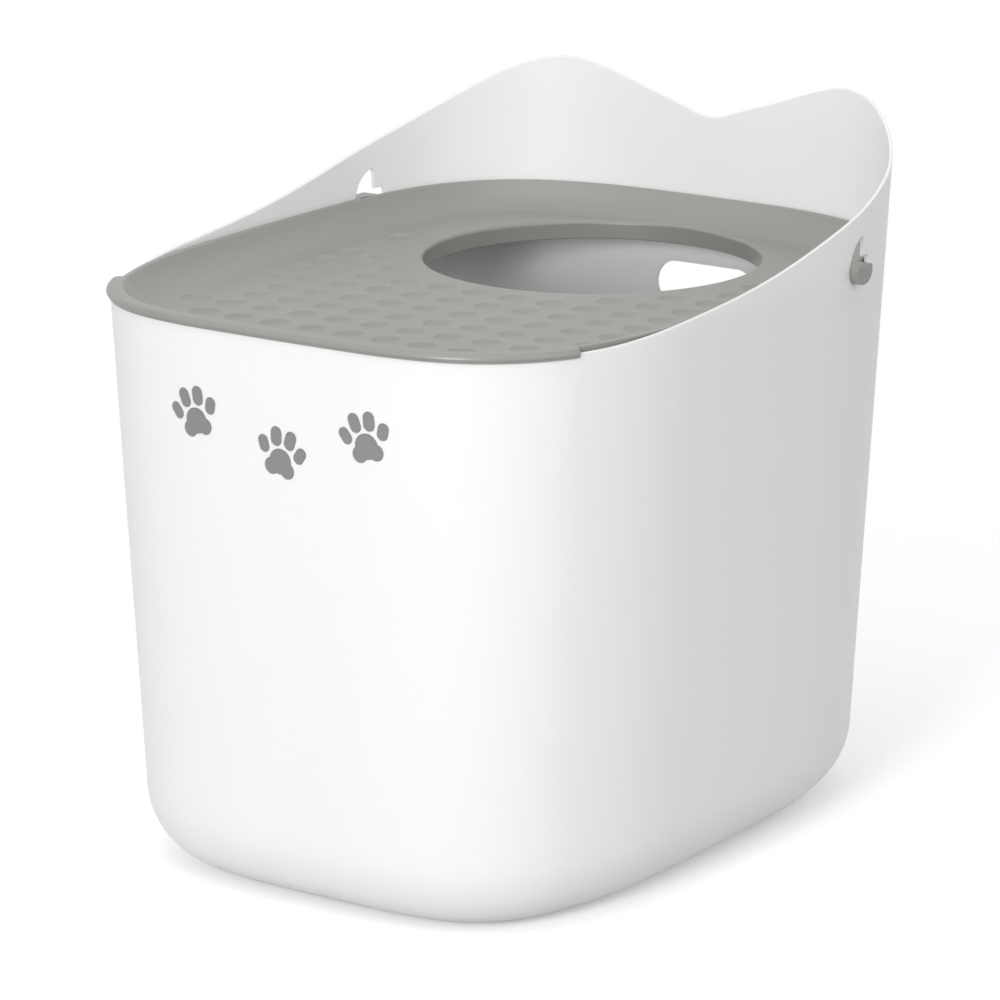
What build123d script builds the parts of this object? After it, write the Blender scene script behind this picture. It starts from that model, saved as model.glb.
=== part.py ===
from build123d import *
import math
import os

# A top entry litter box for cats: a tall drafted bin whose rear wall rises into two ears, and a dished
# lid with a round way in. The lid turns on two pegs that sit in keyhole slots in the bin's side walls.
# The origin is at the middle of the base, +Z is up, -Y is the front. Lengths are in millimetres.

# Plan of the bin's outside, at the height of its front edge. Each quarter is five tangent arcs, from the
# x axis to the y axis. The first and last are long and nearly flat, and their radii follow from the rest.
half_width = 189.9
half_depth = 238.35
front_turns = [2.5, 21.5, 78.0, 88.6]   # degrees at which one arc meets the next
front_radii = [263.0, 98.0, 232.0]      # of the three arcs between those
rear_turns = [1.3, 16.7, 73.4, 87.7]
rear_radii = [271.0, 108.0, 228.0]
side_draft = 2.62        # degrees from vertical
end_draft = 1.73

# Bin
front_height = 361.2
wall = 2.2
base_thickness = 3.0
base_round = 51.5        # radius between the walls and the base
foot_height = 57.0       # the lowest stretch of wall, with one draft all round
ear_rise = 86.1          # ear tips above the front edge
ear_spread = 107.0       # ear tip from the middle
ear_dip = 31.3           # middle of the rear edge below the ear tips

# Side edge from the level front stretch up to the ear tip: shares of the half depth and of the ear rise
side_edge_start = -0.70
side_edge_end = 0.962
side_edge_shape = [(-0.42, 0.044), (0.0, 0.154), (0.42, 0.384), (0.63, 0.543), (0.797, 0.744), (0.91, 0.942)]

# Rear edge from its middle to the ear tip: shares of the ear spread and of the ear dip
rear_edge_shape = [(0.173, 0.16), (0.435, 0.47), (0.69, 0.786)]

# Hand hole in the rear wall
hand_hole_width = 76.0
hand_hole_height = 29.0
hand_hole_drop = 58.2    # its centre below the front edge's height

# Lid
seat_gap = 0.3           # under the front flange
lid_gap = 1.5            # between the lid's rim and the walls
lid_thickness = 2.6
rim_band = 4.0           # width of the rim
rim_drop = 6.0           # depth of the rim's outer face
dish_depth = 15.4
dish_steepness = 50.0    # degrees from level, at the rim
dish_round = 39.5        # between the slope and the platform

# Lip over the bin's front edge
lip_overhang = 2.3
lip_gap = 0.3
lip_drop = 5.5           # lip's lower edge below the lid's top
lip_end_angle = 47.0     # end of the lip, from straight ahead
lip_centre = -20.0       # y of the point that the lip's ends point to
lip_round = 3.2

# Way in
opening_radius = 107.5
opening_rear_gap = 33.85       # from the rear wall's outside
collar_depth = 12.0      # below the platform's top
opening_round = 2.4

# Grip dimples in the platform
dimple_pitch = 27.0
dimple_width = 19.0
dimple_depth = 1.4
dimple_front_gap = 44.35       # from the front wall's outside to the first row
dimple_edge_margin = 36.0      # from the bin's outside to the dimples' centres
dimple_opening_margin = 15.5   # from the opening's edge to the dimples' centres

# Hinge: half-round pegs in keyhole slots
hinge_behind = 11.0      # hinge line behind the middle of the way in
peg_radius = 9.4
peg_clearance = 0.3
peg_reach = 6.6          # past the wall's outside
peg_root = 9.0           # into the lid's rim, from the wall's outside
peg_chamfer = 1.6
slot_rise = 19.5         # top of the slot above the hinge line
slot_rear = 9.0          # straight rear edge behind the hinge line
slot_corner = 2.4
flank_ahead = 6.0        # a point on the arched front edge, from the hinge line
flank_rise = 10.9
shoulder_rear = 18.0     # low rear part of the slot, from the hinge line
shoulder_rise = 6.3
shoulder_drop = 3.5
shoulder_round = 2.5

# Paw prints let into the front wall, each as (x, height from the front edge, lean in degrees)
inlay_thickness = 0.8
inlay_recess = 0.4       # outer face below the wall's outside
paw_places = [(-62.0, -60.0, 14.0), (0.0, -76.0, -10.0), (62.0, -58.0, 12.0)]
pad_radius = 8.0
lobe_radius = 5.2        # the pad's two lower lobes
lobe_x = 5.6
lobe_drop = 4.2
toe_shapes = [(13.2, 7.6, 7.6, 11.0, 24.0), (5.1, 14.6, 8.2, 12.2, 8.0)]   # x, y, width, height, lean

# Sizes that follow from those above
lid_top = front_height + seat_gap + lid_thickness
ear_top = front_height + ear_rise
platform_top = lid_top - dish_depth
rim_inset = wall + lid_gap
dish_inset = rim_inset + rim_band
opening_y = half_depth - opening_rear_gap - opening_radius
hinge_y = opening_y + hinge_behind
hinge_z = lid_top - lid_thickness
side_slope = math.tan(math.radians(side_draft))
end_slope = math.tan(math.radians(end_draft))
foot_slope = (side_slope + end_slope) / 2
spare = 40.0             # how far cutting tools run past what they cut
near = 0.01              # how close an edge lies to the place that it is looked for at


# The five arcs of one quarter of the plan at a height, each as (centre x, centre y, radius, start, end).
# The long first and last arcs close the quarter between the half width and the half depth.
def quarter_arcs(y_sign, height):
    turns = [math.radians(turn) for turn in (front_turns if y_sign < 0 else rear_turns)]
    radii = front_radii if y_sign < 0 else rear_radii
    across = half_width + (height - front_height) * side_slope
    x, y = across, half_depth + (height - front_height) * end_slope
    for radius, start, end in zip(radii, turns, turns[1:]):
        x -= radius * (math.cos(start) - math.cos(end))
        y -= radius * (math.sin(end) - math.sin(start))
    side_x, side_y = 1.0 - math.cos(turns[0]), math.sin(turns[0])
    end_x, end_y = math.cos(turns[-1]), 1.0 - math.sin(turns[-1])
    scale = side_x * end_y - end_x * side_y
    radii = [(x * end_y - end_x * y) / scale] + radii + [(side_x * y - side_y * x) / scale]
    turns = [0.0] + turns + [math.pi / 2]
    centre_x, centre_y = across - radii[0], 0.0
    arcs = [(centre_x, centre_y, radii[0], turns[0], turns[1])]
    for last, radius, start, end in zip(radii, radii[1:], turns[1:], turns[2:]):
        centre_x += (last - radius) * math.cos(start)
        centre_y += (last - radius) * math.sin(start)
        arcs.append((centre_x, centre_y, radius, start, end))
    return arcs


# Outline of the plan at a height, moved inwards by the inset and drawn at a level
def plan_wire(height, inset, level):
    edges = []
    for x_sign, y_sign in ((1, 1), (-1, 1), (-1, -1), (1, -1)):
        for x, y, radius, start, end in quarter_arcs(y_sign, height):
            turns = (start, (start + end) / 2, end)
            reach = radius - inset
            places = [(x + reach * math.cos(turn), y + reach * math.sin(turn)) for turn in turns]
            points = [Vector(x_sign * place_x, y_sign * place_y, level) for place_x, place_y in places]
            edges.append(Edge.make_three_point_arc(*points))
    return Wire(edges)


# Solid between two outlines, each given as (height, inset, level)
def plan_solid(low, high):
    return Solid.make_loft([plan_wire(*low), plan_wire(*high)], True)


# Level edges of a solid at a height
def edges_at(body, level):
    found = []
    for edge in body.edges():
        heights = [(edge @ place).Z for place in (0.0, 0.5, 1.0)]
        if max(abs(height - level) for height in heights) < near:
            found.append(edge)
    return found


# The whole body of the bin, without its hollow: a foot with a rounded base, then walls up to the front edge
# and on past the ears
def bin_body(inset, floor):
    fall = (foot_height - floor) * foot_slope
    foot = plan_solid((foot_height, inset + fall, floor), (foot_height, inset, foot_height))
    foot = foot.fillet(base_round - inset, edges_at(foot, floor))
    top = ear_top + spare / 2
    walls = plan_solid((foot_height, inset, foot_height), (front_height, inset, front_height))
    raised_walls = plan_solid((front_height, inset, front_height), (top, inset, top))
    return foot.fuse(walls).fuse(raised_walls)


# What is cut away above the side walls: the edge rises from the front to the ear tips
def side_trim():
    start = (side_edge_start * half_depth, front_height)
    middle = [(y * half_depth, front_height + z * ear_rise) for y, z in side_edge_shape]
    end = (side_edge_end * half_depth, ear_top)
    edge = Spline(start, *middle, end, tangents=[(1, 0), (1, 0)])
    far = half_depth + spare
    top = ear_top + spare
    rest = Polyline(end, (far, ear_top), (far, top), (-far, top), (-far, front_height), start)
    face = make_face(Plane.YZ * Curve([edge, rest]))
    return extrude(face, amount=half_width + spare, both=True)


# What is cut away between the two ears
def ear_trim():
    low = ear_top - ear_dip
    half = [(x * ear_spread, low + z * ear_dip) for x, z in rear_edge_shape] + [(ear_spread, ear_top)]
    other_half = [(-x, z) for x, z in reversed(half)]
    edge = Spline(*other_half, (0, low), *half, tangents=[(1, 0), (1, 0)])
    top = ear_top + spare
    rest = Polyline((ear_spread, ear_top), (ear_spread, top), (-ear_spread, top), (-ear_spread, ear_top))
    face = make_face(Plane.XZ * Curve([edge, rest]))
    return extrude(face, amount=-half_depth - spare)


# Keyhole slots for the pegs, cut along x through both side walls
def hinge_slots():
    radius = peg_radius + peg_clearance
    crown = (slot_rear - slot_corner, slot_rise)
    flank = ThreePointArc((-radius, 0), (-flank_ahead, flank_rise), crown)
    corner = TangentArc(crown, (slot_rear, slot_rise - slot_corner), tangent=(1, 0))
    foot = Polyline((slot_rear, slot_rise - slot_corner), (slot_rear, 0), (-radius, 0))
    shoulder_height = shoulder_rise + shoulder_drop
    shoulder = RectangleRounded(shoulder_rear + shoulder_round, shoulder_height, shoulder_round)
    shoulder = Pos((shoulder_rear - shoulder_round) / 2, shoulder_rise - shoulder_height / 2) * shoulder
    keyhole = Circle(radius) + make_face(Curve([flank, corner, foot])) + shoulder
    return extrude(hinge_plane(0) * keyhole, amount=half_width + spare, both=True)


# Plane across the hinge line at a place along x, with its own x along the depth
def hinge_plane(x):
    return Plane(origin=(x, hinge_y, hinge_z), x_dir=(0, 1, 0), z_dir=(1, 0, 0))


def hand_hole():
    place = Plane(origin=(0, 0, front_height - hand_hole_drop), x_dir=(1, 0, 0), z_dir=(0, -1, 0))
    hole = SlotOverall(hand_hole_width, hand_hole_height)
    return extrude(place * hole, amount=-half_depth - spare)


# Plane on the front wall's outside at a place, with its own z straight out of the wall
def front_plane(x, z):
    sign = -1 if x < 0 else 1
    for centre_x, centre_y, radius, start, end in quarter_arcs(-1, z):
        if abs(x) > centre_x + radius * math.cos(end):
            break
    turn = math.acos((abs(x) - centre_x) / radius)
    tilt = -math.cos(turn) * side_slope - math.sin(turn) * end_slope
    out = (sign * math.cos(turn), -math.sin(turn), tilt)
    along = (math.sin(turn), sign * math.cos(turn), 0)
    return Plane(origin=(x, -centre_y - radius * math.sin(turn), z), x_dir=along, z_dir=out)


# The pad and the four toes of an upright paw print, each as (x, y, lean, outline)
def paw_pieces():
    lobes = Pos(lobe_x, -lobe_drop) * Circle(lobe_radius) + Pos(-lobe_x, -lobe_drop) * Circle(lobe_radius)
    pieces = [(0.0, 0.0, 0.0, Circle(pad_radius) + lobes)]
    for x, y, width, height, lean in toe_shapes:
        for sign in (-1, 1):
            pieces.append((sign * x, y, 90.0 - sign * lean, SlotOverall(height, width)))
    return pieces


# The paw prints on the front wall as flat solids, from one height above its outside to another
def paw_prints(low, high):
    prints = []
    for x, rise, lean in paw_places:
        along, up = Vector(1, 0).rotate(Axis.Z, lean), Vector(0, 1).rotate(Axis.Z, lean)
        for piece_x, piece_y, piece_lean, outline in paw_pieces():
            offset = along * piece_x + up * piece_y
            place = front_plane(x + offset.X, front_height + rise + offset.Y).offset(low)
            prints.append(extrude(place * Rot(0, 0, lean + piece_lean) * outline, amount=high - low))
    return prints


def make_inlays():
    return paw_prints(-inlay_recess - inlay_thickness, -inlay_recess)


def make_bin():
    shell = bin_body(0, 0) - bin_body(wall, base_thickness)
    shell = shell - side_trim() - ear_trim() - hinge_slots() - hand_hole()
    return shell - paw_prints(-inlay_recess - inlay_thickness, spare)


# The hollow of the dish, open at the top. The thickness moves it outwards, for the underside.
def dish_hollow(thickness, top):
    floor = platform_top - thickness
    run = 1.0 / math.tan(math.radians(dish_steepness))
    outwards = thickness / math.sin(math.radians(dish_steepness))
    low = (lid_top, dish_inset + (lid_top - floor) * run - outwards, floor)
    high = (lid_top, dish_inset + (lid_top - top) * run - outwards, top)
    hollow = plan_solid(low, high)
    return hollow.fillet(dish_round + thickness, edges_at(hollow, floor))


# Wedge of the plan ahead of the lip's centre, as a prism
def lip_sector():
    reach = 2 * half_depth
    side = reach * math.tan(math.radians(lip_end_angle))
    sector = Polygon((0, lip_centre), (-side, lip_centre - reach), (side, lip_centre - reach), align=None)
    return extrude(sector, amount=2 * front_height)


# Flange over the bin's front edge, and the lip that hangs from it outside the wall
def front_lip():
    low = lid_top - lip_drop
    flange = plan_solid((lid_top, -lip_overhang, low), (lid_top, -lip_overhang, lid_top))
    flange = flange.fillet(lip_round, edges_at(flange, lid_top))
    room = plan_solid((lid_top, -lip_gap, low - spare), (lid_top, -lip_gap, lid_top - lid_thickness))
    return flange - room & lip_sector()


# Half width of the bin's outside at a place along its rear half, at the front edge's height
def side_at(y):
    for x, centre_y, radius, start, end in quarter_arcs(1, front_height):
        if y <= centre_y + radius * math.sin(end):
            return x + math.sqrt(radius ** 2 - (y - centre_y) ** 2)


# Half-round peg that stands out of the lid's rim through a slot, flat side up
def hinge_peg():
    place = hinge_plane(side_at(hinge_y) - peg_root)
    flat = Pos(0, lid_thickness - peg_radius) * Rectangle(2 * peg_radius, 2 * peg_radius)
    peg = extrude(place * (Circle(peg_radius) & flat), amount=peg_root + peg_reach)
    return chamfer(peg.edges().group_by(Axis.X)[-1], peg_chamfer)


# Whether a dimple has room there: well inside the bin's outside and off the opening's edge
def dimple_fits(x, y):
    room = 0.0
    for centre_x, centre_y, radius, start, end in quarter_arcs(-1 if y < 0 else 1, front_height):
        turn = math.atan2(abs(y) - centre_y, abs(x) - centre_x)
        if start <= turn <= end:
            room = radius - math.hypot(abs(x) - centre_x, abs(y) - centre_y)
    off_opening = math.hypot(x, y - opening_y) > opening_radius + dimple_opening_margin
    return off_opening and room > dimple_edge_margin


# Round cups in the platform, on a square grid
def dimples():
    ball_radius = (dimple_width ** 2 / 4 + dimple_depth ** 2) / (2 * dimple_depth)
    first_row = dimple_front_gap - half_depth
    columns = int(half_width / dimple_pitch)
    rows = int((opening_y - first_row) / dimple_pitch)
    ball = Rot(0, 90, 0) * Sphere(ball_radius)
    cups = []
    for row in range(rows + 1):
        y = first_row + row * dimple_pitch
        for column in range(-columns, columns + 1):
            x = column * dimple_pitch
            if dimple_fits(x, y):
                cups.append(Pos(x, y, platform_top + ball_radius - dimple_depth) * ball)
    return cups


# Ring that hangs from the platform around the way in, not yet bored
def collar():
    low = (Align.CENTER, Align.CENTER, Align.MIN)
    ring = Cylinder(opening_radius + lid_thickness, collar_depth - lid_thickness / 2, align=low)
    return Pos(0, opening_y, platform_top - collar_depth) * ring


# Edges where the way in breaks through the platform and the dish's slope
def opening_edges(body):
    found = []
    for edge in body.edges():
        points = [edge @ place for place in (0.1, 0.5, 0.9)]
        reach = [math.hypot(point.X, point.Y - opening_y) for point in points]
        if edge.center().Z > platform_top - collar_depth / 2 and max(reach) < opening_radius + near:
            found.append(edge)
    return found


def make_lid():
    peg = hinge_peg()
    rim = plan_solid((lid_top, rim_inset, lid_top - rim_drop), (lid_top, rim_inset, lid_top))
    under = dish_hollow(lid_thickness, lid_top - lid_thickness / 2)
    body = rim + under + front_lip() + peg + mirror(peg, Plane.YZ) + collar()
    body = body - dish_hollow(0, lid_top + rim_drop)
    body = body - Pos(0, opening_y, platform_top) * Cylinder(opening_radius, 2 * spare)
    body = body.fillet(opening_round, opening_edges(body))
    return body - dimples()


def main():
    os.makedirs("parts", exist_ok=True)
    export_step(make_bin(), "parts/bin.step")
    export_step(make_lid(), "parts/lid.step")
    inlays = [piece for inlay in make_inlays() for piece in inlay.solids()]
    export_step(Compound(inlays), "parts/paw_print_inlays.step")


main()
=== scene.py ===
import bpy
import bmesh
import math
import numpy as np
from mathutils import Matrix, Vector


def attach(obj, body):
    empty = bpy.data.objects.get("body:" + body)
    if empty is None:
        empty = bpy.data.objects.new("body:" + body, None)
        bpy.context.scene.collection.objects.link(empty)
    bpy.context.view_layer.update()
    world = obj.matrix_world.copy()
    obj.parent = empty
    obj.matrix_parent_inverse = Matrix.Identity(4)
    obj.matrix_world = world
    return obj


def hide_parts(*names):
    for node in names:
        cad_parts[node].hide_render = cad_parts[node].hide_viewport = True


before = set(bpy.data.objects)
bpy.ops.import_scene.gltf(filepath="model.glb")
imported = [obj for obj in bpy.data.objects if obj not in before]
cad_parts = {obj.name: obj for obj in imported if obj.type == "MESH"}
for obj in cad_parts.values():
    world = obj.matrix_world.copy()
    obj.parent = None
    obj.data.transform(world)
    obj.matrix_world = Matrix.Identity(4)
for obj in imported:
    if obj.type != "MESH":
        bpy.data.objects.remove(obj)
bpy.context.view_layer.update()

# Top entry litter box: a white moulded bin whose rear wall rises into two ears, and a dished grey lid
# on two pegs. Lengths are in metres, +Z is up and -Y is the front.

scene = bpy.context.scene
mm = 0.001
turnSlack = 1e-9                     # radians, where one arc meets the next
weldDistance = 0.001 * mm            # points closer than this are one
sharpAngle = 35.0                    # degrees between faces above which an edge stays sharp


plan = {
    "halfWidth": 189.9 * mm,         # at the height of the bin's front edge
    "halfDepth": 238.35 * mm,
    "frontTurns": [2.5, 21.5, 78.0, 88.6],    # degrees at which one arc meets the next
    "frontRadii": [263.0 * mm, 98.0 * mm, 232.0 * mm],
    "rearTurns": [1.3, 16.7, 73.4, 87.7],
    "rearRadii": [271.0 * mm, 108.0 * mm, 228.0 * mm],
    "sideDraft": 2.62,               # degrees from vertical
    "endDraft": 1.73,
    "frontHeight": 361.2 * mm,
    "lipEndTurn": 22.5,              # where the lid's lip ends
    "lipEndSteps": [-3.2, -2.2, -1.5, -1.0, -0.6, -0.25, 0.0, 0.25, 0.6, 1.0, 2.0],    # mm, extra columns
    "quarterSteps": 96,              # segments of each quarter of the outline
}
sideSlope = math.tan(math.radians(plan["sideDraft"]))
endSlope = math.tan(math.radians(plan["endDraft"]))


def quarterArcs(isFront, height):    # five tangent arcs, each as (centre x, centre y, radius, start, end)
    turns = [math.radians(turn) for turn in plan["frontTurns" if isFront else "rearTurns"]]
    radii = plan["frontRadii" if isFront else "rearRadii"]
    across = plan["halfWidth"] + (height - plan["frontHeight"]) * sideSlope
    x, y = across, plan["halfDepth"] + (height - plan["frontHeight"]) * endSlope
    for radius, start, end in zip(radii, turns, turns[1:]):
        x -= radius * (math.cos(start) - math.cos(end))
        y -= radius * (math.sin(end) - math.sin(start))
    sideX, sideY = 1.0 - math.cos(turns[0]), math.sin(turns[0])
    endX, endY = math.cos(turns[-1]), 1.0 - math.sin(turns[-1])
    scale = sideX * endY - endX * sideY
    radii = [(x * endY - endX * y) / scale] + radii + [(sideX * y - sideY * x) / scale]
    turns = [0.0] + turns + [math.pi / 2]
    centreX, centreY = across - radii[0], 0.0
    arcs = [(centreX, centreY, radii[0], turns[0], turns[1])]
    for last, radius, start, end in zip(radii, radii[1:], turns[1:], turns[2:]):
        centreX += (last - radius) * math.cos(start)
        centreY += (last - radius) * math.sin(start)
        arcs.append((centreX, centreY, radius, start, end))
    return arcs


def quarterTurns(isFront):           # turn angles at even steps along one quarter
    arcs = quarterArcs(isFront, plan["frontHeight"])
    lengths = [0.0]
    for x, y, radius, start, end in arcs:
        lengths.append(lengths[-1] + radius * (end - start))
    corners = [arcs[0][3]] + [arc[4] for arc in arcs]
    places = list(np.linspace(0.0, lengths[-1], plan["quarterSteps"] + 1))
    if isFront:
        extra = [lipEndPlace(lengths, corners) - step * mm for step in plan["lipEndSteps"]]
        clear = [place for place in places if min(abs(place - other) for other in extra) > mm]
        places = sorted(clear + extra)
    return list(np.interp(places, lengths, corners))


def lipEndPlace(lengths, corners):   # length along the quarter at which the lip ends
    return float(np.interp(math.radians(plan["lipEndTurn"]), corners, lengths))


def outlineColumns():                # once round, anticlockwise from +X, each as (x sign, y sign, turn)
    rear, front = quarterTurns(False), quarterTurns(True)
    columns = [(1, 1, turn) for turn in rear[:-1]]
    columns += [(-1, 1, turn) for turn in reversed(rear[1:])]
    columns += [(-1, -1, turn) for turn in front[:-1]]
    columns += [(1, -1, turn) for turn in reversed(front[1:])]
    return columns


columns = outlineColumns()
arcStore = {}


def arcsAt(isFront, height):         # a quarter's arcs, worked out once for each height
    key = (isFront, round(height, 7))
    if key not in arcStore:
        arcStore[key] = quarterArcs(*key)
    return arcStore[key]


def outlinePoint(column, inset, height, level=None):    # on the outline at a height, drawn at a level
    xSign, ySign, turn = column
    for x, y, radius, start, end in arcsAt(ySign < 0, height):
        if turn <= end + turnSlack:
            break
    reach = radius - inset
    z = height if level is None else level
    return Vector((xSign * (x + reach * math.cos(turn)), ySign * (y + reach * math.sin(turn)), z))


def insetAt(x, y, height):           # how far a point lies inside the outline at a height
    facing = []                      # only arcs that have the point in front of them count
    for centreX, centreY, radius, start, end in arcsAt(y < 0, height):
        if start - turnSlack <= math.atan2(abs(y) - centreY, abs(x) - centreX) <= end + turnSlack:
            facing.append(radius - math.hypot(abs(x) - centreX, abs(y) - centreY))
    return min(facing)


def smoothCurve(points):             # cubic through the points, level at both ends
    x, y = np.array(points, float).T
    step = np.diff(x)
    rise = np.diff(y) / step
    matrix = np.eye(len(x))
    right = np.zeros(len(x))
    for i in range(1, len(x) - 1):
        matrix[i, i - 1:i + 2] = step[i], 2 * (step[i - 1] + step[i]), step[i - 1]
        right[i] = 3 * (step[i] * rise[i - 1] + step[i - 1] * rise[i])
    slope = np.linalg.solve(matrix, right)

    def height(place):
        place = min(max(place, x[0]), x[-1])
        i = min(int(np.searchsorted(x, place, side="right")) - 1, len(step) - 1)
        t = (place - x[i]) / step[i]
        ends = y[i] * (1 + 2 * t) * (1 - t) ** 2 + y[i + 1] * t ** 2 * (3 - 2 * t)
        bends = step[i] * (slope[i] * t * (1 - t) ** 2 - slope[i + 1] * t ** 2 * (1 - t))
        return float(ends + bends)

    return height


def roundTurns(steps, first=1):      # even turns round a quarter circle
    return [math.radians(90.0 * step / steps) for step in range(first, steps + 1)]


def startRing(bm, count):
    verts = bmesh.ops.create_circle(bm, cap_ends=False, radius=1.0, segments=count)["verts"]
    return sorted(verts, key=lambda vert: math.atan2(vert.co.y, vert.co.x) % math.tau)


def ringEdges(bm, ring, closed=True):
    following = ring[1:] + ring[:1] if closed else ring[1:]
    return [bm.edges.get((a, b)) for a, b in zip(ring, following)]


def growRing(bm, ring, places, closed=True):    # extrudes a loop of edges and puts the new one in place
    grown = bmesh.ops.extrude_edge_only(bm, edges=ringEdges(bm, ring, closed))["geom"]
    fresh = {item for item in grown if isinstance(item, bmesh.types.BMVert)}
    following = []
    for vert in ring:
        others = [edge.other_vert(vert) for edge in vert.link_edges]
        following.append(next(other for other in others if other in fresh))
    for vert, place in zip(following, places):
        vert.co = place
    return following


def circlePoints(centre, radius, count, level):
    x, y = centre
    turns = [math.tau * step / count for step in range(count)]
    return [Vector((x + radius * math.cos(turn), y + radius * math.sin(turn), level)) for turn in turns]


def finishMesh(bm, name, body=None, node=None, smooth=True):
    bmesh.ops.recalc_face_normals(bm, faces=bm.faces)
    mesh = bpy.data.meshes.new(name)
    bm.to_mesh(mesh)
    bm.free()
    piece = bpy.data.objects.new(name, mesh)
    scene.collection.objects.link(piece)
    if smooth:
        mesh.shade_smooth()
    if node:
        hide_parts(node)
    if body:
        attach(piece, body)
    return piece


def carve(piece, cutters, operation="DIFFERENCE"):    # exact boolean with each cutter in turn, then applied
    for cutter in cutters:
        modifier = piece.modifiers.new("carve", "BOOLEAN")
        modifier.operation = operation
        modifier.solver = "EXACT"
        modifier.object = cutter
    applyModifiers(piece)
    for cutter in cutters:
        bpy.data.objects.remove(cutter)


def applyModifiers(piece):
    bpy.context.view_layer.update()
    evaluated = piece.evaluated_get(bpy.context.evaluated_depsgraph_get())
    mesh = bpy.data.meshes.new_from_object(evaluated)
    piece.modifiers.clear()
    old = piece.data
    mesh.name = old.name
    piece.data = mesh
    bpy.data.meshes.remove(old)


def dress(piece, material):          # smooth shading that breaks at sharp edges, and the material
    piece.data.shade_smooth()
    piece.data.set_sharp_from_angle(angle=math.radians(sharpAngle))
    even = piece.modifiers.new("evenNormals", "WEIGHTED_NORMAL")
    even.keep_sharp = True
    even.weight = 100
    piece.data.materials.append(material)
    print(piece.name + ":", len(piece.data.polygons), "faces")


binShape = {
    "wall": 2.2 * mm,
    "base": 3.0 * mm,
    "baseRound": 51.5 * mm,
    "footHeight": 57.0 * mm,
    "earRise": 86.1 * mm,
    "earSpread": 107.0 * mm,
    "earDip": 31.3 * mm,
    # upper edge: shares of the half depth and the ear rise, then of the ear spread and the ear dip
    "sideEdge": [(-0.70, 0.0), (-0.42, 0.044), (0.0, 0.154), (0.42, 0.384), (0.63, 0.543), (0.797, 0.744),
                 (0.91, 0.942), (0.962, 1.0)],
    "rearEdge": [(0.0, 0.0), (0.173, 0.16), (0.435, 0.47), (0.69, 0.786), (1.0, 1.0)],
    "edgeRound": 0.7 * mm,
    "roundSteps": 14,
    "wallSteps": 12,
}
binShape["earTop"] = plan["frontHeight"] + binShape["earRise"]
footSlope = (sideSlope + endSlope) / 2
sideHeight = smoothCurve([(y * plan["halfDepth"], z * binShape["earRise"])
                          for y, z in binShape["sideEdge"]])
rearHalf = [(x * binShape["earSpread"], z * binShape["earDip"]) for x, z in binShape["rearEdge"]]
rearHeight = smoothCurve([(-x, z) for x, z in reversed(rearHalf[1:])] + rearHalf)


def edgeHeight(point):               # the bin's upper edge above a point of the outline
    height = plan["frontHeight"] + sideHeight(point.y)
    if point.y > 0 and abs(point.x) < binShape["earSpread"]:
        height = min(height, binShape["earTop"] - binShape["earDip"] + rearHeight(point.x))
    return height


def footProfile(inset, floor):       # (inset, height) from the floor's edge up the rounded foot
    radius = binShape["baseRound"] - inset
    lean = math.atan(footSlope)
    middle = inset + radius / math.cos(lean) + (binShape["footHeight"] - floor - radius) * footSlope
    steps = binShape["roundSteps"]
    turns = [(math.pi / 2 - lean) * step / steps for step in range(steps + 1)]
    return [(middle - radius * math.sin(turn), floor + radius - radius * math.cos(turn)) for turn in turns]


def buildBin():
    bm = bmesh.new()
    foot = binShape["footHeight"]
    tops = [edgeHeight(outlinePoint(column, 0.0, plan["frontHeight"])) for column in columns]

    def footRing(inset, height):
        return [outlinePoint(column, inset, foot, height) for column in columns]

    def wallRing(inset, share):
        heights = [foot + (top - binShape["edgeRound"] - foot) * share for top in tops]
        return [outlinePoint(column, inset, height) for column, height in zip(columns, heights)]

    def edgeRing(inset, fall):
        return [outlinePoint(column, inset, top - fall) for column, top in zip(columns, tops)]

    shares = [step / binShape["wallSteps"] for step in range(binShape["wallSteps"] + 1)]
    rounded = binShape["edgeRound"]
    outerCorner = [(rounded - rounded * math.cos(turn), rounded - rounded * math.sin(turn))
                   for turn in roundTurns(4)]
    innerCorner = [(binShape["wall"] - inset, fall) for inset, fall in reversed(outerCorner)]

    rings = [footRing(inset, height) for inset, height in footProfile(0.0, 0.0)]
    rings += [wallRing(0.0, share) for share in shares]
    rings += [edgeRing(inset, fall) for inset, fall in outerCorner + innerCorner]
    rings += [wallRing(binShape["wall"], share) for share in reversed(shares)]
    inside = footProfile(binShape["wall"], binShape["base"])
    rings += [footRing(inset, height) for inset, height in reversed(inside)]

    ring = startRing(bm, len(columns))
    for vert, place in zip(ring, rings[0]):
        vert.co = place
    bmesh.ops.contextual_create(bm, geom=ringEdges(bm, ring))
    for places in rings[1:]:
        ring = growRing(bm, ring, places)
    bmesh.ops.contextual_create(bm, geom=ringEdges(bm, ring))
    return finishMesh(bm, "litterBin", "bin", "bin")


holes = {
    "handWidth": 76.0 * mm,
    "handHeight": 29.0 * mm,
    "handZ": 303.0 * mm,
    "hingeY": 108.0 * mm,
    "hingeZ": 361.5 * mm,
    "slotRadius": 9.7 * mm,
    "slotRise": 19.5 * mm,
    "slotRear": 9.0 * mm,
    "slotCorner": 2.4 * mm,
    "flankAhead": 6.0 * mm,
    "flankRise": 10.9 * mm,
    "shoulderRear": 18.0 * mm,
    "shoulderRise": 6.3 * mm,
    "shoulderDrop": 3.5 * mm,
    "shoulderRound": 2.5 * mm,
    "reach": 300.0 * mm,
}


def arcPoints(centre, radius, start, end, steps):    # degrees, both ends included
    turns = [math.radians(start + (end - start) * step / steps) for step in range(steps + 1)]
    return [(centre[0] + radius * math.cos(turn), centre[1] + radius * math.sin(turn)) for turn in turns]


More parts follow.
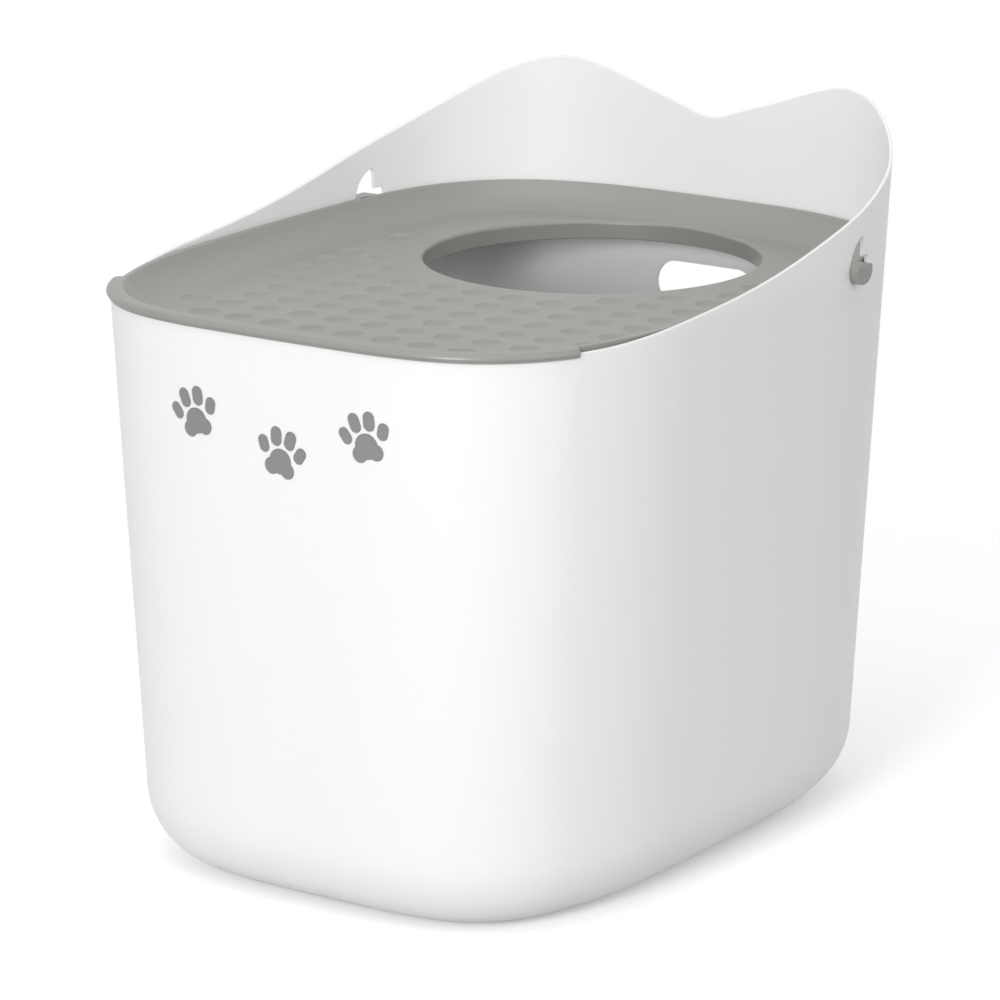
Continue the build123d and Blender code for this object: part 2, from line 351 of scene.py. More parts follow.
def addPrism(bm, points, place, low, high):    # a flat outline between two heights, put on a placing matrix
    face = bm.faces.new([bm.verts.new((x, y, low)) for x, y in points])
    grown = bmesh.ops.extrude_face_region(bm, geom=[face])["geom"]
    top = [item for item in grown if isinstance(item, bmesh.types.BMVert)]
    bmesh.ops.translate(bm, vec=(0, 0, high - low), verts=top)
    bmesh.ops.transform(bm, matrix=place, verts=list(face.verts) + top)
    return top


def bevelEdges(bm, edges, width, segments):
    bmesh.ops.bevel(bm, geom=edges, offset=width, offset_type="OFFSET", segments=segments, profile=0.5,
                    affect="EDGES", clamp_overlap=True, material=-1)


def prismCutter(name, prisms):       # one cutting piece of several separate prisms
    bm = bmesh.new()
    for points, place, low, high in prisms:
        addPrism(bm, points, place, low, high)
    return finishMesh(bm, name, smooth=False)


def handHoleCutter():
    radius = holes["handHeight"] / 2
    side = holes["handWidth"] / 2 - radius
    points = arcPoints((side, 0), radius, -90, 90, 24) + arcPoints((-side, 0), radius, 90, 270, 24)
    place = Matrix.Translation((0, 0, holes["handZ"])) @ Matrix.Rotation(math.pi / 2, 4, "X")
    return prismCutter("handHoleCutter", [(points, place, -holes["reach"], 0.0)])


def circleThrough(a, b, c):          # centre and radius of the circle through three points
    (ax, ay), (bx, by), (cx, cy) = a, b, c
    d = 2 * (ax * (by - cy) + bx * (cy - ay) + cx * (ay - by))
    aa, bb, cc = ax * ax + ay * ay, bx * bx + by * by, cx * cx + cy * cy
    x = (aa * (by - cy) + bb * (cy - ay) + cc * (ay - by)) / d
    y = (aa * (cx - bx) + bb * (ax - cx) + cc * (bx - ax)) / d
    return (x, y), math.hypot(ax - x, ay - y)


def slotOutline():                   # around the hinge line: first number back, second up
    radius, rear, corner = holes["slotRadius"], holes["slotRear"], holes["slotCorner"]
    crown = (rear - corner, holes["slotRise"])
    centre, flankRadius = circleThrough((-radius, 0), (-holes["flankAhead"], holes["flankRise"]), crown)
    start = math.degrees(math.atan2(crown[1] - centre[1], crown[0] - centre[0]))
    end = math.degrees(math.atan2(-centre[1], -radius - centre[0])) % 360
    points = arcPoints((crown[0], crown[1] - corner), corner, 0, 90, 6)
    points += arcPoints(centre, flankRadius, start, end, 12)[1:]
    points += arcPoints((0, 0), radius, 180, 340, 24)[1:]
    low, far, soft = -holes["shoulderDrop"], holes["shoulderRear"], holes["shoulderRound"]
    points += arcPoints((far - soft, low + soft), soft, -90, 0, 6)
    points += arcPoints((far - soft, holes["shoulderRise"] - soft), soft, 0, 90, 6)
    points += [(rear, holes["shoulderRise"])]
    return points


def slotCutter():
    sideways = Matrix(((0, 0, 1, 0), (1, 0, 0, holes["hingeY"]), (0, 1, 0, holes["hingeZ"]), (0, 0, 0, 1)))
    return prismCutter("slotCutter", [(slotOutline(), sideways, -holes["reach"], holes["reach"])])


paw = {
    # x, height from the bin's front edge, lean in degrees
    "places": [(-62.0 * mm, -60.0 * mm, 14.0), (0.0, -76.0 * mm, -10.0), (62.0 * mm, -58.0 * mm, 12.0)],
    "padRadius": 8.0 * mm,
    "lobeRadius": 5.2 * mm,
    "lobeX": 5.6 * mm,
    "lobeDrop": 4.2 * mm,
    # x, y, width, height, lean in degrees
    "outerToe": (13.2 * mm, 7.6 * mm, 7.6 * mm, 11.0 * mm, 24.0),
    "innerToe": (5.1 * mm, 14.6 * mm, 8.2 * mm, 12.2 * mm, 8.0),
    "recess": 0.4 * mm,              # the inlays' faces below the wall's outside
    "thickness": 0.8 * mm,
    "seam": 0.05 * mm,
    "softEdge": 0.25 * mm,
    "spare": 6.0 * mm,
}


def frontPlace(x, z):                # matrix on the front wall's outside, its z straight out of it
    for centreX, centreY, radius, start, end in quarterArcs(True, z):
        if abs(x) > centreX + radius * math.cos(end):
            break
    turn = math.acos((abs(x) - centreX) / radius)
    side = -1 if x < 0 else 1
    tilt = -math.cos(turn) * sideSlope - math.sin(turn) * endSlope
    out = Vector((side * math.cos(turn), -math.sin(turn), tilt)).normalized()
    along = Vector((math.sin(turn), side * math.cos(turn), 0.0))
    basis = Matrix((along, out.cross(along), out)).transposed().to_4x4()
    return Matrix.Translation((x, -centreY - radius * math.sin(turn), z)) @ basis


def padOutline(seam):                # a round pad that runs into two lower lobes
    big, small = paw["padRadius"] - seam, paw["lobeRadius"] - seam
    x, drop = paw["lobeX"], paw["lobeDrop"]
    apart = math.hypot(x, drop)
    along = (big ** 2 - small ** 2 + apart ** 2) / (2 * apart)
    across = math.sqrt(big ** 2 - along ** 2)
    towards = math.degrees(math.atan2(-drop, x))
    wide = math.degrees(math.atan2(across, along))
    lobe = math.degrees(math.atan2(across, along - apart))
    points = arcPoints((0, 0), big, -180 - towards + wide, towards - wide, 6)[:-1]
    points += arcPoints((x, -drop), small, towards - lobe, towards + lobe, 20)[:-1]
    points += arcPoints((0, 0), big, towards + wide, 180 - towards - wide, 24)[:-1]
    return points + arcPoints((-x, -drop), small, 180 - towards - lobe, 180 - towards + lobe, 20)[:-1]


def toeOutline(width, height, seam):
    radius = width / 2 - seam
    side = (height - width) / 2
    return arcPoints((side, 0), radius, -90, 90, 16) + arcPoints((-side, 0), radius, 90, 270, 16)


def pawPrisms(low, high, seam):      # pad and toes of each print, as flat prisms on the front wall
    pieces = [(0.0, 0.0, 0.0, padOutline(seam))]
    for x, y, width, height, lean in (paw["outerToe"], paw["innerToe"]):
        pieces += [(side * x, y, 90.0 - side * lean, toeOutline(width, height, seam)) for side in (-1, 1)]
    prisms = []
    for x, rise, lean in paw["places"]:
        turned = Matrix.Rotation(math.radians(lean), 2)
        for pieceX, pieceY, pieceLean, points in pieces:
            offset = turned @ Vector((pieceX, pieceY))
            place = frontPlace(x + offset.x, plan["frontHeight"] + rise + offset.y)
            leant = place @ Matrix.Rotation(math.radians(lean + pieceLean), 4, "Z")
            prisms.append((points, leant, low, high))
    return prisms


def buildInlays():
    bm = bmesh.new()
    outerEdges = []
    prisms = pawPrisms(-paw["recess"] - paw["thickness"], -paw["recess"], paw["seam"])
    for points, place, low, high in prisms:
        top = set(addPrism(bm, points, place, low, high))
        outerEdges += [edge for edge in bm.edges if edge.verts[0] in top and edge.verts[1] in top]
    bevelEdges(bm, outerEdges, paw["softEdge"], 3)
    return finishMesh(bm, "pawPrintInlays", "bin", "paw_print_inlays")


lid = {
    "top": 364.1 * mm,
    "thickness": 2.6 * mm,
    "rimInset": 3.7 * mm,
    "rimBand": 4.0 * mm,
    "rimDrop": 6.0 * mm,
    "rimRound": 0.8 * mm,
    "dishDepth": 15.4 * mm,
    "dishSteepness": 50.0,           # degrees
    "dishRound": 39.5 * mm,
    "dishEdgeRound": 2.0 * mm,
    "dishSteps": 14,
    "lipOut": 2.3 * mm,
    "lipGap": 0.3 * mm,
    "lipDrop": 4.0 * mm,
    "lipStep": 1.3 * mm,             # set back under the face
    "lipStepDrop": 5.4 * mm,
    "lipRound": 2.7 * mm,            # of its upper edge
    "lipSoft": 1.1 * mm,             # of its lower edge
    "lipEndRound": 1.9 * mm,         # corner of the lip's ends, seen from above
    "lipRoot": 1.0 * mm,             # where they run into the rim
    "sameTurn": 1e-6,                # radians within which a column is the one at the lip's end
    "openingRadius": 107.5 * mm,
    "openingY": 97.0 * mm,
    "openingRound": 2.4 * mm,
    "collarDepth": 12.0 * mm,
    "collarRound": 0.7 * mm,
    "openingSteps": 192,
    "support": 0.8 * mm,             # narrow flat ring that keeps the flat's shading clean
    "margin": 1.2 * mm,
}
lid["platform"] = lid["top"] - lid["dishDepth"]
lid["dishInset"] = lid["rimInset"] + lid["rimBand"]


def dishProfile(drop, edgeRound):    # (inset, height) down the dish, moved outwards by a thickness
    steps = lid["dishSteps"]
    steep = math.radians(lid["dishSteepness"])
    start = lid["dishInset"] - drop / math.sin(steep)
    floor = lid["platform"] - drop
    radius = lid["dishRound"] + drop
    foot = start + (lid["top"] - floor) / math.tan(steep)
    end = foot + radius * math.tan(steep / 2)
    turns = [steep * (1 - step / steps) for step in range(steps + 1)]
    points = [(end - radius * math.sin(turn), floor + radius - radius * math.cos(turn)) for turn in turns]
    if edgeRound:
        reach = edgeRound * math.tan(steep / 2)
        turns = [steep * step / 4 for step in range(5)]
        centre = start - reach
        level = lid["top"] - edgeRound
        rounded = [(centre + edgeRound * math.sin(turn), level + edgeRound * math.cos(turn))
                   for turn in turns]
        points = rounded + points
    return points + [(end + lid["support"], floor)]


def heightOn(profile, inset):        # height of a profile at an inset, between its points
    insets = [point[0] for point in profile]
    return float(np.interp(inset, insets, [point[1] for point in profile]))


def roomAt(column, circles):         # inset at which the first of the circles begins, straight inwards
    start = outlinePoint(column, 0.0, lid["top"])
    inward = (outlinePoint(column, mm, lid["top"]) - start).normalized()
    room = 1.0
    for x, y, radius in circles:
        toCentre = Vector((x, y, lid["top"])) - start
        along = toCentre.dot(inward)
        aside = (toCentre - along * inward).length
        if aside < radius and along > 0:
            room = min(room, along - math.sqrt(radius ** 2 - aside ** 2))
    return room


def dishRings(profile, circles):     # rings down the dish, drawn closer together beside the circles
    first, last = profile[0][0], profile[-1][0]
    rings = [[] for _ in profile]
    for column in columns:
        room = roomAt(column, circles) - lid["margin"]
        scale = min(1.0, (room - first) / (last - first))
        for ring, (inset, height) in zip(rings, profile):
            if scale < 1.0:
                inset = first + (inset - first) * scale
                height = heightOn(profile, inset)
            ring.append(outlinePoint(column, inset, lid["top"], height))
    return rings


def openingRing(radius, levelAt):
    points = circlePoints((0, lid["openingY"]), radius, lid["openingSteps"], 0.0)
    for point in points:
        point.z = levelAt(point)
    return points


dimple = {
    "pitch": 27.0 * mm,
    "width": 19.0 * mm,
    "depth": 1.7 * mm,
    "steepness": 4,                  # power of the floor's curve towards the wall
    "soft": 1.0 * mm,                # width over which its edge rolls into the platform
    "land": 0.3 * mm,
    "firstRow": -194.0 * mm,
    "lastRow": 80.0 * mm,
    "edgeMargin": 36.0 * mm,
    "openingMargin": 15.5 * mm,
    "segments": 32,
    "ringPlaces": [1.0, 0.75, 0.5, 0.25, 0.0],             # shares of the rolled edge's width
    "innerRings": [0.94, 0.86, 0.76, 0.62, 0.42],          # shares of the cup inside it
}


def dimpleCentres():
    rows = int((dimple["lastRow"] - dimple["firstRow"]) / dimple["pitch"])
    reach = int(plan["halfWidth"] / dimple["pitch"])
    centres = []
    for row in range(rows + 1):
        y = dimple["firstRow"] + row * dimple["pitch"]
        for column in range(-reach, reach + 1):
            x = column * dimple["pitch"]
            offOpening = math.hypot(x, y - lid["openingY"]) > lid["openingRadius"] + dimple["openingMargin"]
            if offOpening and insetAt(x, y, plan["frontHeight"]) > dimple["edgeMargin"]:
                centres.append((x, y))
    return centres


def cupDepth(distance):              # a flat floor, a steep wall and a rolled edge
    half = dimple["width"] / 2
    soft = dimple["soft"] / 2
    depth = dimple["depth"] * (1 - (min(distance, half - soft) / half) ** dimple["steepness"])
    share = min(1.0, max(0.0, distance - half + soft) / (2 * soft))
    return depth * (1 - share) ** 2


def cornerCut(distance, radius):     # how far a rounded corner draws back at a distance from its end
    if distance >= radius:
        return 0.0
    return radius - math.sqrt(radius ** 2 - (radius - distance) ** 2)


def cupRadii():                      # from the flat land inwards
    inside = (dimple["width"] - dimple["soft"]) / 2
    radii = [inside + dimple["soft"] + dimple["land"]]
    radii += [inside + dimple["soft"] * share for share in dimple["ringPlaces"]]
    return radii + [inside * share for share in dimple["innerRings"]]


def buildLid():
    bm = bmesh.new()
    top, platform = lid["top"], lid["platform"]
    rim, band = lid["rimInset"], lid["rimInset"] + lid["rimRound"]
    topProfile = dishProfile(0.0, lid["dishEdgeRound"])
    underProfile = dishProfile(lid["thickness"], 0.0)
    outerOpening = lid["openingRadius"] + lid["openingRound"]
    collarOuter = lid["openingRadius"] + lid["thickness"]

    flatInset = topProfile[-1][0]
    cups = dimpleCentres()
    circles = [(0.0, lid["openingY"], outerOpening + lid["support"])]
    radii = cupRadii()
    nearEdge = flatInset + lid["margin"] + radii[0]
    circles += [(x, y, radii[0]) for x, y in cups if insetAt(x, y, top) < nearEdge]

    shared = startRing(bm, len(columns))     # the rim's flat top, from which both sides grow
    for vert, column in zip(shared, columns):
        vert.co = outlinePoint(column, band, top)
    ring = shared
    for places in dishRings(topProfile, circles):
        ring = growRing(bm, ring, places)
    topLoop = ringEdges(bm, ring)

    # outer side: the lip over the front, the plain rim elsewhere
    lipEnd = math.radians(plan["lipEndTurn"])
    ends = [index for index, (_, ySign, turn) in enumerate(columns)
            if abs(turn - lipEnd) < lid["sameTurn"] and ySign < 0]
    endPoints = [outlinePoint(columns[index], 0.0, top) for index in ends]
    spans = {"lip": list(range(ends[0], ends[1] + 1)),
             "rim": list(range(ends[1], len(columns))) + list(range(0, ends[0] + 1))}
    under, low = top - lid["thickness"], top - lid["lipDrop"]
    out, gap, soft = -lid["lipOut"], -lid["lipGap"], lid["lipRound"]
    outside = [(out + soft - soft * math.sin(turn), top - soft + soft * math.cos(turn), 1.0)
               for turn in roundTurns(4, 0)]
    lower, lowest = lid["lipSoft"], top - lid["lipStepDrop"]
    beneath = [(out + lower - lower * math.cos(turn), low + lower - lower * math.sin(turn))
               for turn in roundTurns(4, 0)]
    beneath += [(out + lid["lipStep"], low), (out + lid["lipStep"], lowest)]
    outside += [(inset, height, (gap - inset) / (gap - out)) for inset, height in beneath]
    rimTop = [(band - lid["rimRound"] * math.sin(turn), top - lid["rimRound"] * (1 - math.cos(turn)), 1.0)
              for turn in roundTurns(4)] + [(rim, under, 1.0)]
    bottom = (rim, top - lid["rimDrop"])
    shaped = {"lip": (outside, [(gap, lowest), (gap, under), (rim, under), bottom], lid["lipEndRound"], 1),
              "rim": (rimTop, [(rim, under), bottom], lid["lipRoot"], -1)}
    for name, (shifting, fixed, radius, sense) in shaped.items():
        strip = [shared[index] for index in spans[name]]
        shifts = []
        for index in spans[name]:
            place = outlinePoint(columns[index], 0.0, top)
            shifts.append(sense * cornerCut(min((place - end).length for end in endPoints), radius))
        for inset, height, share in shifting + [(inset, height, 0.0) for inset, height in fixed]:
            places = [outlinePoint(columns[index], inset + share * shift, top, height)
                      for index, shift in zip(spans[name], shifts)]
            strip = growRing(bm, strip, places, closed=False)
    topEdges = set(topLoop)
    openEdges = [edge for edge in bm.edges if edge.is_boundary and edge not in topEdges]
    openVerts = {vert for edge in openEdges for vert in edge.verts}
    bmesh.ops.remove_doubles(bm, verts=list(openVerts), dist=weldDistance)
    boundary = [edge for edge in bm.edges if edge.is_boundary and edge not in topEdges]
    atBottom = [edge for edge in boundary
                if max(abs(vert.co.z - bottom[1]) for vert in edge.verts) < weldDistance]
    bmesh.ops.holes_fill(bm, edges=[edge for edge in boundary if edge not in set(atBottom)], sides=0)

    # underside: across the rim's lower face and down under the dish
    lowRing = orderedLoop(atBottom)
    crossing = [point for point in underProfile if point[1] < bottom[1]]
    insetThere = heightInset(underProfile, bottom[1])
    ring = lowRing
    underCircles = [(0.0, lid["openingY"], collarOuter + lid["support"])]
    for places in dishRings([(insetThere, bottom[1])] + crossing, underCircles):
        ring = growRing(bm, ring, places)
    underLoop = ringEdges(bm, ring)

    # way in: rolled edge, bore, collar
    def surfaceLevel(point):
        return heightOn(topProfile, insetAt(point.x, point.y, top))

    def underLevel(point):
        return heightOn(underProfile, insetAt(point.x, point.y, top))

    soft, collarSoft = lid["openingRound"], lid["collarRound"]
    collarLow = platform - lid["collarDepth"]
    loops = [openingRing(outerOpening + lid["support"], surfaceLevel)]
    edgeLevels = [surfaceLevel(point) for point in openingRing(outerOpening, surfaceLevel)]
    for turn in roundTurns(8, 0):
        places = openingRing(outerOpening - soft * math.sin(turn), surfaceLevel)
        for place, level in zip(places, edgeLevels):
            place.z = level - soft * (1 - math.cos(turn))
        loops.append(places)
    loops.append(openingRing(lid["openingRadius"], lambda point: collarLow + collarSoft))
    for turn in roundTurns(4):
        radius = lid["openingRadius"] + collarSoft * (1 - math.cos(turn))
        level = collarLow + collarSoft * (1 - math.sin(turn))
        loops.append(openingRing(radius, lambda point: level))
    for turn in roundTurns(4, 0):
        radius = collarOuter - collarSoft * (1 - math.sin(turn))
        level = collarLow + collarSoft * (1 - math.cos(turn))
        loops.append(openingRing(radius, lambda point: level))
    loops.append(openingRing(collarOuter, underLevel))
    loops.append(openingRing(collarOuter + lid["support"], underLevel))
    ring = startRing(bm, lid["openingSteps"])
    for vert, place in zip(ring, loops[0]):
        vert.co = place
    openingTop = ringEdges(bm, ring)
    for places in loops[1:]:
        ring = growRing(bm, ring, places)
    openingUnder = ringEdges(bm, ring)

    # grip dimples
    cupEdges = []
    for x, y in cups:
        ring = startRing(bm, dimple["segments"])
        for vert, place in zip(ring, circlePoints((x, y), radii[0], dimple["segments"], 0.0)):
            vert.co = (place.x, place.y, surfaceLevel(place))
        cupEdges += ringEdges(bm, ring)
        for radius in radii[1:]:
            places = circlePoints((x, y), radius, dimple["segments"], 0.0)
            for place in places:
                place.z = surfaceLevel(place) - cupDepth(radius)
            ring = growRing(bm, ring, places)
        middle = bmesh.ops.contextual_create(bm, geom=ringEdges(bm, ring))["faces"]
        poked = bmesh.ops.poke(bm, faces=middle)["verts"]
        poked[0].co.z = surfaceLevel(poked[0].co) - dimple["depth"]

    for edges in (topLoop + openingTop + cupEdges, underLoop + openingUnder):
        bmesh.ops.triangle_fill(bm, edges=edges, use_beauty=True, normal=(0, 0, 1))
    return finishMesh(bm, "dishedLid", "lid", "lid")


def heightInset(profile, height):    # inset at which a falling profile passes a height
    heights = [point[1] for point in reversed(profile)]
    return float(np.interp(height, heights, [point[0] for point in reversed(profile)]))


def orderedLoop(edges):              # vertices of a closed loop of edges, in the order of the columns
    verts = list({vert for edge in edges for vert in edge.verts})
    order = []
    for column in columns:
        place = outlinePoint(column, lid["rimInset"], lid["top"], lid["top"] - lid["rimDrop"])
        order.append(min(verts, key=lambda vert: (vert.co - place).length_squared))
    return order


peg = {
    "radius": 9.4 * mm,
    "flat": 2.6 * mm,                # flat top above the hinge line
    "inner": 182.0 * mm,
    "outer": 193.9 * mm,
    "chamfer": 1.6 * mm,
    "segments": 64,
    "pick": 0.01 * mm,               # how near its outer face an edge counts as on it
}


def pegSolid(side):
    bm = bmesh.new()
    bmesh.ops.create_cone(bm, cap_ends=True, segments=peg["segments"], radius1=peg["radius"],
                          radius2=peg["radius"], depth=peg["outer"] - peg["inner"])
    turned = Matrix.Rotation(math.pi / 2, 4, "Y")
    middle = Matrix.Translation(((peg["inner"] + peg["outer"]) / 2, holes["hingeY"], holes["hingeZ"]))
    bmesh.ops.transform(bm, matrix=middle @ turned, verts=bm.verts)
    cut = bmesh.ops.bisect_plane(bm, geom=bm.verts[:] + bm.edges[:] + bm.faces[:], clear_outer=True,
                                 plane_co=(0, 0, holes["hingeZ"] + peg["flat"]), plane_no=(0, 0, 1))
    cutEdges = [item for item in cut["geom_cut"] if isinstance(item, bmesh.types.BMEdge)]
    bmesh.ops.contextual_create(bm, geom=cutEdges)
    outerX = peg["outer"] - peg["pick"]
    outerEdges = [edge for edge in bm.edges if min(vert.co.x for vert in edge.verts) > outerX]
    bevelEdges(bm, outerEdges, peg["chamfer"], 2)
    if side < 0:
        bmesh.ops.scale(bm, vec=(-1, 1, 1), verts=bm.verts)
    return finishMesh(bm, "peg", smooth=False)


moulding = {
    "patchScale": 9.0,               # patches about a hand wide
    "peelScale": 260.0,              # orange peel, about 4 mm
    "bumpDistance": 0.1 * mm,
    "glowRadius": (1.0, 1.0, 1.0),   # light that comes through a thin wall, the same in each colour
    "glowScale": 4.0 * mm,
}


def newMaterial(name):
    material = bpy.data.materials.new(name)
    material.use_nodes = True
    nodes = material.node_tree.nodes
    return material, nodes, material.node_tree.links, nodes["Principled BSDF"]


def mouldedSurfaceGroup():           # orange peel, fine grain and slow gloss drift of a moulding
    group = bpy.data.node_groups.new("mouldedSurface", "ShaderNodeTree")
    face = group.interface
    colour = face.new_socket(name="Color", in_out="INPUT", socket_type="NodeSocketColor")
    colour.default_value = (0.8, 0.8, 0.8, 1)
    for name, value in (("Drift", 0.02), ("Grain Scale", 2500.0), ("Grain", 0.2), ("Gloss", 0.4),
                        ("Gloss Drift", 0.05)):
        face.new_socket(name=name, in_out="INPUT", socket_type="NodeSocketFloat").default_value = value
    face.new_socket(name="Color", in_out="OUTPUT", socket_type="NodeSocketColor")
    for name in ("Roughness", "Height"):
        face.new_socket(name=name, in_out="OUTPUT", socket_type="NodeSocketFloat")
    nodes, links = group.nodes, group.links
    given = nodes.new("NodeGroupInput")
    result = nodes.new("NodeGroupOutput")
    coords = nodes.new("ShaderNodeTexCoord")

    def noise(scale, detail):
        node = nodes.new("ShaderNodeTexNoise")
        node.inputs["Scale"].default_value = scale
        node.inputs["Detail"].default_value = detail
        links.new(coords.outputs["Object"], node.inputs["Vector"])
        return node

    def maths(operation, first, second):
        node = nodes.new("ShaderNodeMath")
        node.operation = operation
        for socket, value in zip(node.inputs, (first, second)):
            if isinstance(value, (int, float)):
                socket.default_value = value
            else:
                links.new(value, socket)
        return node.outputs[0]

    slow = noise(moulding["patchScale"], 3.0)
    peel = noise(moulding["peelScale"], 2.0)
    grain = noise(1.0, 2.0)
    links.new(given.outputs["Grain Scale"], grain.inputs["Scale"])
    centred = maths("SUBTRACT", slow.outputs["Fac"], 0.5)
    shade = maths("ADD", maths("MULTIPLY", centred, given.outputs["Drift"]), 1.0)
    tint = nodes.new("ShaderNodeVectorMath")
    tint.operation = "SCALE"
    links.new(given.outputs["Color"], tint.inputs[0])
    links.new(shade, tint.inputs["Scale"])
    drift = maths("MULTIPLY", centred, given.outputs["Gloss Drift"])
    gloss = maths("ADD", given.outputs["Gloss"], drift)
    fine = maths("MULTIPLY", grain.outputs["Fac"], given.outputs["Grain"])
    height = maths("ADD", fine, peel.outputs["Fac"])
    links.new(tint.outputs[0], result.inputs["Color"])
    links.new(gloss, result.inputs["Roughness"])
    links.new(height, result.inputs["Height"])
    return group


surfaceGroup = mouldedSurfaceGroup()


def mouldedPlastic(name, look):
    material, nodes, links, shader = newMaterial(name)
    surface = nodes.new("ShaderNodeGroup")
    surface.node_tree = surfaceGroup
    surface.inputs["Color"].default_value = (*look["colour"], 1.0)
    for socket, key in (("Drift", "drift"), ("Grain Scale", "grainScale"), ("Grain", "grain"),
                        ("Gloss", "roughness"), ("Gloss Drift", "glossDrift")):
        surface.inputs[socket].default_value = look[key]
    bump = nodes.new("ShaderNodeBump")
    bump.inputs["Strength"].default_value = look["bump"]
    bump.inputs["Distance"].default_value = moulding["bumpDistance"]
    links.new(surface.outputs["Color"], shader.inputs["Base Color"])
    links.new(surface.outputs["Roughness"], shader.inputs["Roughness"])
    links.new(surface.outputs["Height"], bump.inputs["Height"])
    links.new(bump.outputs["Normal"], shader.inputs["Normal"])
    shader.inputs["IOR"].default_value = look["ior"]
    shader.inputs["Specular IOR Level"].default_value = look["specular"]
    shader.inputs["Subsurface Weight"].default_value = look["glow"]
    shader.inputs["Subsurface Radius"].default_value = moulding["glowRadius"]
    shader.inputs["Subsurface Scale"].default_value = moulding["glowScale"]
    return material


whiteLook = {"colour": (0.88, 0.88, 0.878), "drift": 0.012, "grainScale": 3200.0, "grain": 0.3,
             "roughness": 0.42, "glossDrift": 0.06, "bump": 0.12, "ior": 1.5, "specular": 0.4, "glow": 0.35}
greyLook = {"colour": (0.262, 0.265, 0.245), "drift": 0.03, "grainScale": 2400.0, "grain": 0.6,
            "roughness": 0.36, "glossDrift": 0.06, "bump": 0.12, "ior": 1.5, "specular": 0.6, "glow": 0.0}
inlayLook = {"colour": (0.235, 0.235, 0.228), "drift": 0.03, "grainScale": 2400.0, "grain": 0.4,
             "roughness": 0.5, "glossDrift": 0.06, "bump": 0.2, "ior": 1.5, "specular": 0.4, "glow": 0.0}

whitePlastic = mouldedPlastic("whiteMouldedPlastic", whiteLook)
greyPlastic = mouldedPlastic("greyMouldedPlastic", greyLook)
inlayPlastic = mouldedPlastic("greyInlayPlastic", inlayLook)


binPiece = buildBin()
pocketPrisms = pawPrisms(-paw["recess"] - paw["thickness"], paw["spare"], 0.0)
pocketCutter = prismCutter("pocketCutter", pocketPrisms)
carve(binPiece, [handHoleCutter(), slotCutter(), pocketCutter])
dress(binPiece, whitePlastic)

lidPiece = buildLid()
carve(lidPiece, [pegSolid(1), pegSolid(-1)], "UNION")
dress(lidPiece, greyPlastic)

inlayPiece = buildInlays()
dress(inlayPiece, inlayPlastic)


studio = {
    "floorSize": 12.0,
    "floorColour": (0.96, 0.96, 0.97, 1.0),      # as the camera sees it
    "floorGlow": 0.28,
    "bounceColour": (0.62, 0.62, 0.62, 1.0),     # as it lights the box
    "shadowReach": (0.45, 0.85),     # from the middle, between these the floor turns plain white
    "skyStrength": 0.50,
    "target": (0.0, 0.0, 0.2),
    "softboxes": {                   # place, size, power
        "overheadSoftbox": ((-0.2, -0.4, 2.6), 2.2, 18.0),
        "frontSoftbox": ((0.58, -2.75, 1.06), 0.8, 39.5),
        "sideSoftbox": ((2.6, -0.6, 1.6), 1.4, 12.0),
    },
}


def buildFloor():
    bm = bmesh.new()
    bmesh.ops.create_grid(bm, x_segments=1, y_segments=1, size=studio["floorSize"] / 2)
    mesh = bpy.data.meshes.new("floor")
    bm.to_mesh(mesh)
    bm.free()
    floor = bpy.data.objects.new("floor", mesh)
    scene.collection.objects.link(floor)
    material, nodes, links, shader = newMaterial("paleFloor")
    nodes.remove(shader)
    near, bounce = nodes.new("ShaderNodeBsdfDiffuse"), nodes.new("ShaderNodeBsdfDiffuse")
    near.inputs["Color"].default_value = studio["floorColour"]
    bounce.inputs["Color"].default_value = studio["bounceColour"]
    white, glow = nodes.new("ShaderNodeEmission"), nodes.new("ShaderNodeEmission")
    lit = nodes.new("ShaderNodeAddShader")
    glow.inputs["Strength"].default_value = studio["floorGlow"]
    links.new(near.outputs[0], lit.inputs[0])
    links.new(glow.outputs[0], lit.inputs[1])
    coords = nodes.new("ShaderNodeTexCoord")
    away = nodes.new("ShaderNodeVectorMath")
    away.operation = "LENGTH"
    fade = nodes.new("ShaderNodeMapRange")
    fade.interpolation_type = "SMOOTHSTEP"
    for name, reach in zip(("From Min", "From Max"), studio["shadowReach"]):
        fade.inputs[name].default_value = reach
    links.new(coords.outputs["Object"], away.inputs[0])
    links.new(away.outputs["Value"], fade.inputs["Value"])
    seenFloor, floorMix = nodes.new("ShaderNodeMixShader"), nodes.new("ShaderNodeMixShader")
    links.new(fade.outputs["Result"], seenFloor.inputs[0])
    links.new(lit.outputs[0], seenFloor.inputs[1])
    links.new(white.outputs[0], seenFloor.inputs[2])
    links.new(seenRays(nodes, links), floorMix.inputs[0])
    links.new(bounce.outputs[0], floorMix.inputs[1])
    links.new(seenFloor.outputs[0], floorMix.inputs[2])
    links.new(floorMix.outputs[0], nodes["Material Output"].inputs["Surface"])
    mesh.materials.append(material)


def seenRays(nodes, links):          # 1 for rays that show the surroundings, 0 for those that only light
    path = nodes.new("ShaderNodeLightPath")
    total = path.outputs["Is Camera Ray"]
    for name in ("Is Glossy Ray", "Is Transmission Ray"):
        either = nodes.new("ShaderNodeMath")
        either.operation = "MAXIMUM"
        links.new(total, either.inputs[0])
        links.new(path.outputs[name], either.inputs[1])
        total = either.outputs[0]
    return total


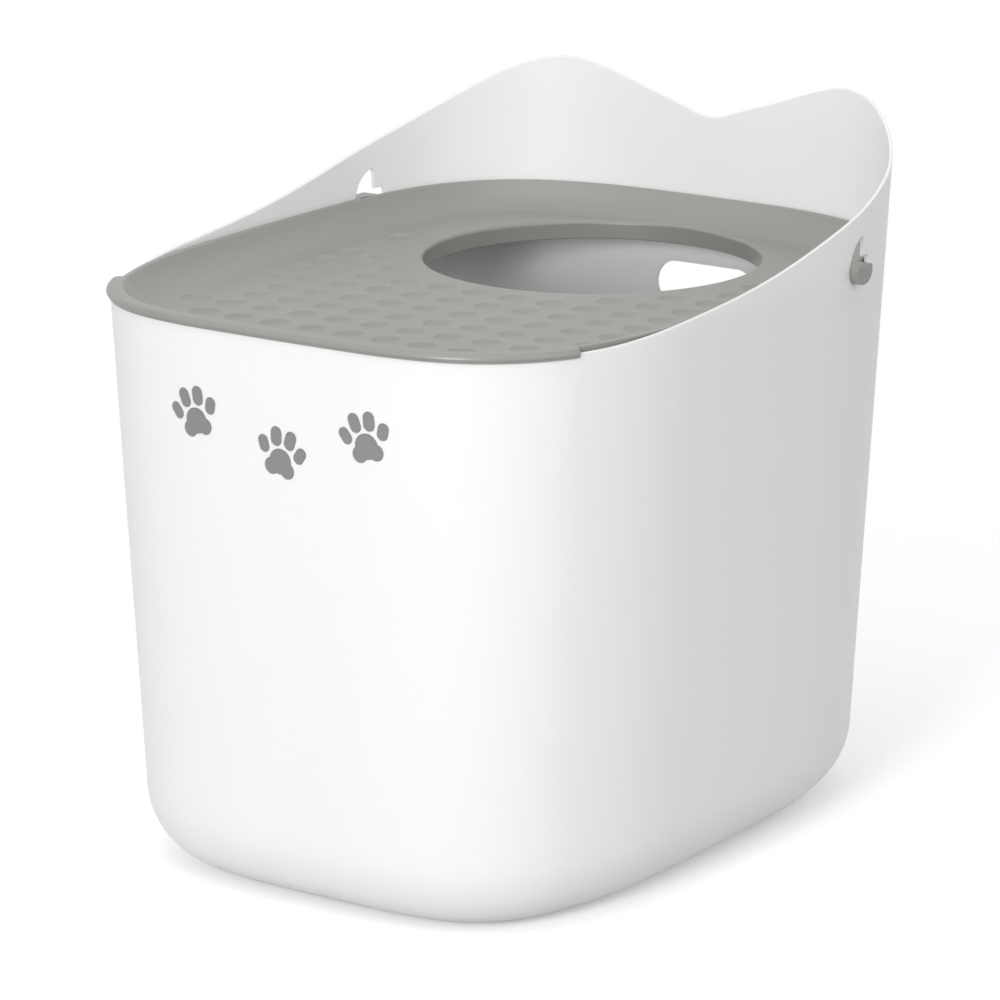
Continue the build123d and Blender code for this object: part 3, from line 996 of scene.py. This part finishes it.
def buildWorld():
    world = bpy.data.worlds.new("studio")
    scene.world = world
    world.use_nodes = True
    nodes, links = world.node_tree.nodes, world.node_tree.links
    nodes.clear()
    sky, backdrop = nodes.new("ShaderNodeBackground"), nodes.new("ShaderNodeBackground")
    sky.inputs["Strength"].default_value = studio["skyStrength"]
    backdrop.inputs["Strength"].default_value = 1.0
    for node in (sky, backdrop):
        node.inputs["Color"].default_value = (1.0, 1.0, 1.0, 1.0)
    mix = nodes.new("ShaderNodeMixShader")
    links.new(seenRays(nodes, links), mix.inputs[0])
    links.new(sky.outputs[0], mix.inputs[1])
    links.new(backdrop.outputs[0], mix.inputs[2])
    output = nodes.new("ShaderNodeOutputWorld")
    links.new(mix.outputs[0], output.inputs["Surface"])


def addSoftbox(name, place, target, size, power):
    light = bpy.data.lights.new(name, "AREA")
    light.shape = "SQUARE"
    light.size = size
    light.energy = power
    lamp = bpy.data.objects.new(name, light)
    lamp.location = place
    lamp.rotation_euler = (Vector(target) - Vector(place)).to_track_quat("-Z", "Y").to_euler()
    scene.collection.objects.link(lamp)


view = {
    "turn": 34.17,                   # degrees round from the front towards +X
    "rise": 15.08,
    "roll": 0.036,
    "distance": 3172.48 * mm,
    "targetHeight": 209.71 * mm,
    "lens": 182.04,                  # mm
    "sensor": 36.0,
    "shiftX": -0.0063,
    "shiftY": -0.00035,
}


def buildCamera():
    turn, rise = math.radians(view["turn"]), math.radians(view["rise"])
    back = Vector((math.sin(turn) * math.cos(rise), -math.cos(turn) * math.cos(rise), math.sin(rise)))
    right = Vector((math.cos(turn), math.sin(turn), 0.0))
    up = back.cross(right)
    data = bpy.data.cameras.new("camera")
    data.lens = view["lens"]
    data.sensor_width = view["sensor"]
    data.shift_x, data.shift_y = view["shiftX"], view["shiftY"]
    camera = bpy.data.objects.new("camera", data)
    basis = Matrix((right, up, back)).transposed().to_4x4()
    place = Vector((0, 0, view["targetHeight"])) + back * view["distance"]
    roll = Matrix.Rotation(math.radians(view["roll"]), 4, "Z")
    camera.matrix_world = Matrix.Translation(place) @ basis @ roll
    scene.collection.objects.link(camera)
    scene.camera = camera


buildFloor()
buildWorld()
for boxName, (boxPlace, boxSize, boxPower) in studio["softboxes"].items():
    addSoftbox(boxName, boxPlace, studio["target"], boxSize, boxPower)
buildCamera()
scene.view_settings.view_transform = "Standard"
print("studio: floor, world, softboxes and camera")
